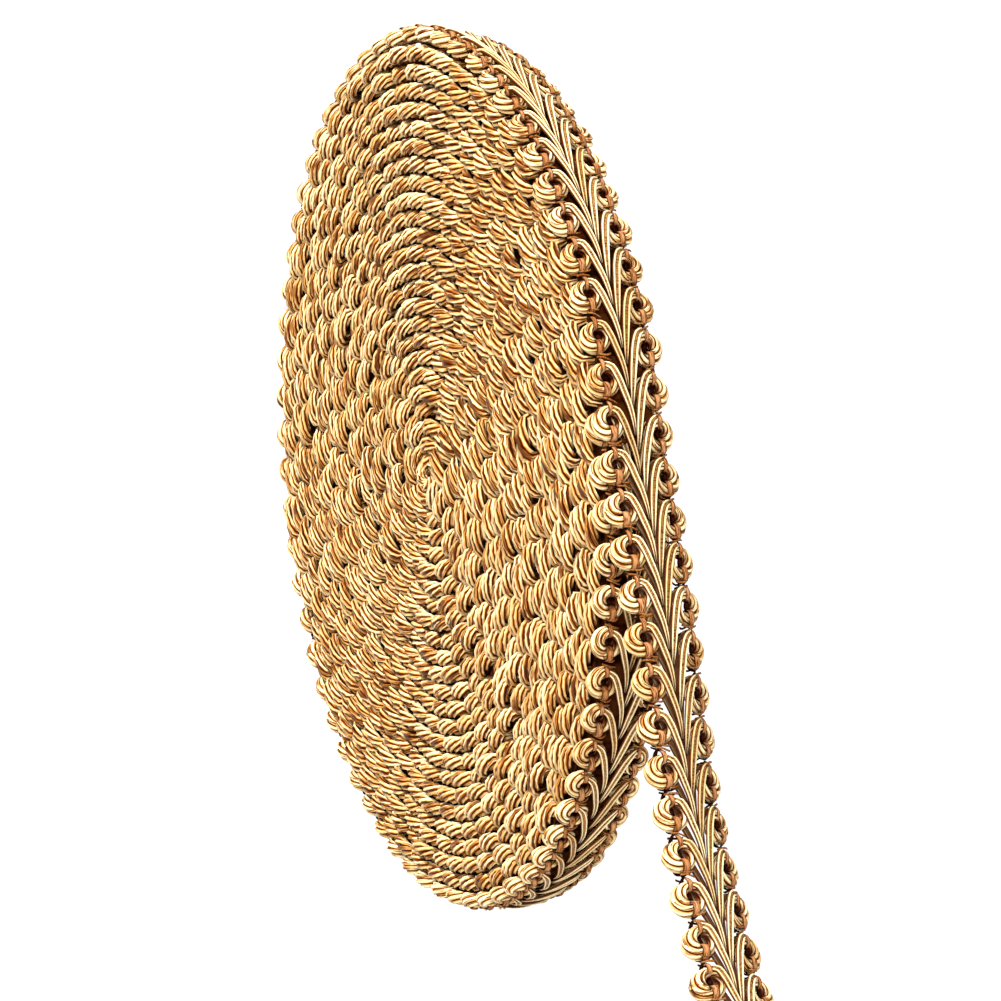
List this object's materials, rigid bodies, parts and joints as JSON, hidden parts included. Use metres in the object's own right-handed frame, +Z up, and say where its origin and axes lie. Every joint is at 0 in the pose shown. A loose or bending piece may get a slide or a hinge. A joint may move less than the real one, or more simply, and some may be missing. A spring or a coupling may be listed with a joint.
{
  "type": "gimp braid trim",
  "caption": "Flat wound roll of scroll gimp braid with scalloped edges, standing on its rim with one loose end leading off to the side.",
  "frame": {"origin": "middle of the small flat spot on the rim that the roll stands on", "axes": "+Z up, Y along the roll's axis, +X towards the side that the loose end leaves on"},
  "size_m": [0.1932, 0.012, 0.126],
  "materials": {
    "roll_braid": "satin",
    "end_braid": "satin"
  },
  "bodies": {
    "root": {"wound_roll": "roll_braid", "loose_end": "end_braid"}
  },
  "joints": []
}
